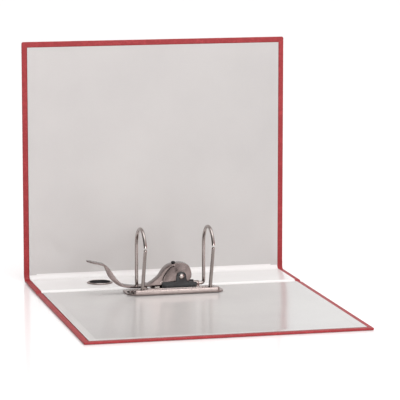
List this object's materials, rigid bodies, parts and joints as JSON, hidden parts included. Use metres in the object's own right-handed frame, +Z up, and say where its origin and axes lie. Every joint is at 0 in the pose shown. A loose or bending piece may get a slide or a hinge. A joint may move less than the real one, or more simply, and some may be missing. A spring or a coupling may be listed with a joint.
{
  "type": "lever arch file",
  "caption": "A4 lever arch file lying open: hinged covers and spine in grained foil, with a lever-operated arch mechanism, paper compressor, finger ring and label pocket.",
  "frame": {"origin": "on the surface it lies on, under the middle of the open file's box", "axes": "+X along the file's height, from its bottom edge to its top edge; +Y from the rear cover's free edge to the spine; +Z up, along the upright front cover"},
  "size_m": [0.318, 0.369, 0.285],
  "materials": {
    "red_foil": "leather-grained foil",
    "grey_board": "grey board",
    "liner_paper": "smooth light grey paper",
    "nickel_steel": "nickel plated",
    "spring_steel": "bright",
    "black_plastic": "moulded",
    "black_rubber": "moulded",
    "clear_film": "clear film",
    "label_print": "printed card"
  },
  "bodies": {
    "rear_cover": {"rear_foil": "red_foil", "rear_board": "grey_board", "rear_liner": "liner_paper", "base_plate": "nickel_steel", "base_rivet_1": "nickel_steel", "base_rivet_2": "nickel_steel", "base_rivet_3": "nickel_steel", "base_rivet_4": "nickel_steel", "fixed_post_left": "nickel_steel", "fixed_post_right": "nickel_steel", "bow_bearing_left": "nickel_steel", "bow_bearing_right": "nickel_steel", "leaf_spring": "spring_steel", "bearing_block": "black_plastic", "lever_pin": "nickel_steel"},
    "spine": {"spine_foil": "red_foil", "spine_board": "grey_board", "spine_liner": "liner_paper", "rear_crease_foil": "red_foil", "rear_crease_liner": "liner_paper", "front_crease_foil": "red_foil", "front_crease_liner": "liner_paper", "finger_ring_outer": "nickel_steel", "finger_ring_inner": "nickel_steel", "label_pocket": "clear_film"},
    "front_cover": {"front_foil": "red_foil", "front_board": "grey_board", "front_liner": "liner_paper"},
    "lever": {"lever_arm": "nickel_steel", "roller_pin": "nickel_steel", "lever_pad": "black_rubber"},
    "roller": {"lever_roller": "black_plastic"},
    "arch": {"arch_bow": "nickel_steel"},
    "compressor": {"compressor_bar": "nickel_steel", "bar_bush_left": "black_plastic", "bar_bush_right": "black_plastic"},
    "card": {"label_card": "label_print"}
  },
  "joints": [
    {"name": "spine_fold", "type": "hinge", "parent": "rear_cover", "child": "spine", "pos_m": [0, 0.1005, 0], "axis": [1, 0, 0], "range_deg": [0, 90], "deforming": ["rear_crease_foil", "rear_crease_liner"]},
    {"name": "cover_fold", "type": "hinge", "parent": "spine", "child": "front_cover", "pos_m": [0, 0.1845, 0], "axis": [1, 0, 0], "range_deg": [-90, 0], "deforming": ["front_crease_foil", "front_crease_liner"]},
    {"name": "lever_lift", "type": "hinge", "parent": "rear_cover", "child": "lever", "pos_m": [0.0046, 0.0715, 0.021], "axis": [0, -1, 0], "range_deg": [-105, 0]},
    {"name": "arch_open", "type": "hinge", "parent": "rear_cover", "child": "arch", "pos_m": [-0.0034, 0.0865, 0.008], "axis": [1, 0, 0], "range_deg": [-88.2, 0]},
    {"name": "roller_spin", "type": "hinge", "parent": "lever", "child": "roller", "pos_m": [-0.0184, 0.0715, 0.0143], "axis": [0, 1, 0], "continuous": true},
    {"name": "bar_slide", "type": "slide", "parent": "rear_cover", "child": "compressor", "axis": [0, -0.3021, 0.9533], "range_m": [0, 0.038]},
    {"name": "card_slide", "type": "slide", "parent": "spine", "child": "card", "axis": [1, 0, 0], "range_m": [0, 0.15]}
  ],
  "couplings": [
    {"joint": "arch_open", "follows": "lever_lift", "ratio": 0.84}
  ]
}
